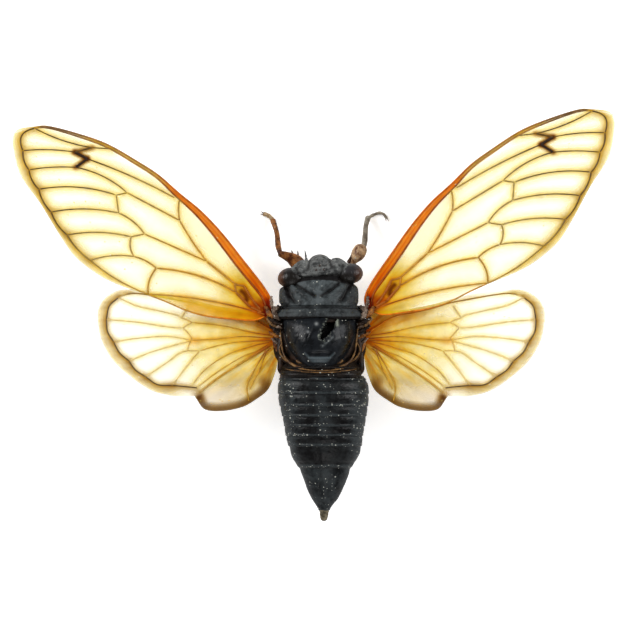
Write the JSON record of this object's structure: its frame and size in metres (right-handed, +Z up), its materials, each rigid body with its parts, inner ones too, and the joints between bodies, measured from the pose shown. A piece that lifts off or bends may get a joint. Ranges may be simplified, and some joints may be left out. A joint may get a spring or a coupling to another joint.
{
  "type": "periodical cicada specimen",
  "caption": "Dried, spread periodical cicada: black body lying on its underside, forelegs forward, amber veined wings held out to both sides.",
  "frame": {"origin": "on the floor, below the middle of the whole animal's box", "axes": "+X to the animal's right along the wingspan, +Y towards the head, +Z up from the floor"},
  "size_m": [0.0663, 0.0452, 0.0099],
  "materials": {
    "cuticle_black": "black insect cuticle, satin to glossy",
    "cuticle_ochre": "black cuticle with dull ochre edges",
    "leg_brown": "red-brown insect cuticle, satin",
    "eye_brown": "dark dried compound eye, glossy",
    "wing_amber": "clear amber wing membrane with brown and orange veins"
  },
  "bodies": {
    "root": {"head": "cuticle_black", "eye_left": "eye_brown", "eye_right": "eye_brown", "antenna_left": "cuticle_black", "antenna_right": "cuticle_black", "rostrum": "cuticle_black", "pronotum": "cuticle_black", "mesothorax": "cuticle_black", "metathorax": "cuticle_ochre", "abdomen": "cuticle_black", "abdomen_tip": "cuticle_black", "foreleg_left": "leg_brown", "foreleg_right": "leg_brown", "midleg_left": "leg_brown", "midleg_right": "leg_brown", "hindleg_left": "leg_brown", "hindleg_right": "leg_brown", "forewing_left": "wing_amber", "forewing_right": "wing_amber", "hindwing_left": "wing_amber", "hindwing_right": "wing_amber"}
  },
  "joints": []
}
